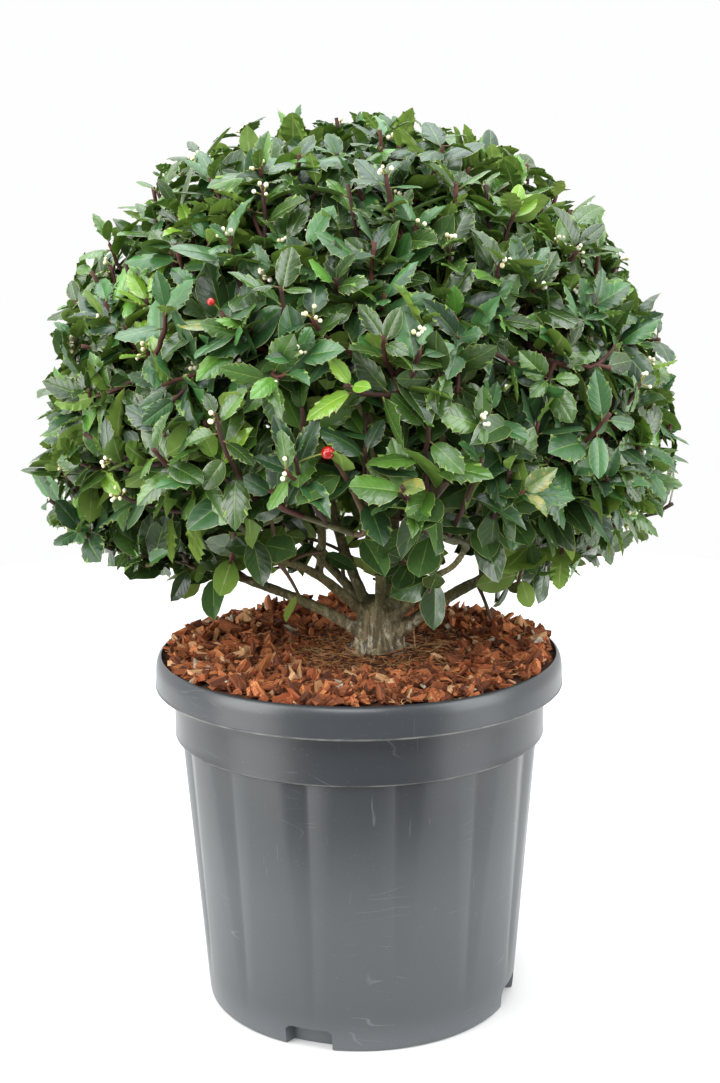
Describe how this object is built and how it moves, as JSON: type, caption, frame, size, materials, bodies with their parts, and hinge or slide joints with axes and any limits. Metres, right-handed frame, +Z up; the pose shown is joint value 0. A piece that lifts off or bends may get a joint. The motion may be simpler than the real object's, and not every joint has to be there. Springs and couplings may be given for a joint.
{
  "type": "clipped ball holly shrub in a nursery pot",
  "caption": "Evergreen holly shrub clipped to a leafy ball on a short trunk, growing in a round black plastic nursery pot topped with bark mulch.",
  "frame": {"origin": "middle of the pot's flat underside, on the pot's axis", "axes": "+Z up; -Y towards the side that the picture shows; +X to the picture's right"},
  "size_m": [0.4962, 0.5005, 0.696],
  "materials": {
    "pot": "satin black polypropylene, lightly dusty and scratched",
    "mulch": "coarse red-brown bark chips and fibres over soil",
    "trunk_bark": "grey-olive bark with pale patches at the foot",
    "bough_bark": "smooth olive-green bark with small warts",
    "foliage": "glossy dark green spiny leaves with a thin pale edge"
  },
  "bodies": {
    "root": {"pot": "pot", "mulch": "mulch", "trunk": "trunk_bark", "bough_high_front": "bough_bark", "bough_high_right": "bough_bark", "bough_high_back_right": "bough_bark", "bough_high_back_left": "bough_bark", "bough_high_left": "bough_bark", "bough_low_right": "bough_bark", "bough_low_back_right": "bough_bark", "bough_low_back_left": "bough_bark", "bough_low_left": "bough_bark", "bough_low_front_left": "bough_bark", "bough_low_front_right": "bough_bark", "bough_top": "bough_bark", "foliage_high_front": "foliage", "foliage_high_right": "foliage", "foliage_high_back_right": "foliage", "foliage_high_back_left": "foliage", "foliage_high_left": "foliage", "foliage_low_right": "foliage", "foliage_low_back_right": "foliage", "foliage_low_back_left": "foliage", "foliage_low_left": "foliage", "foliage_low_front_left": "foliage", "foliage_low_front_right": "foliage", "foliage_top": "foliage"}
  },
  "joints": []
}
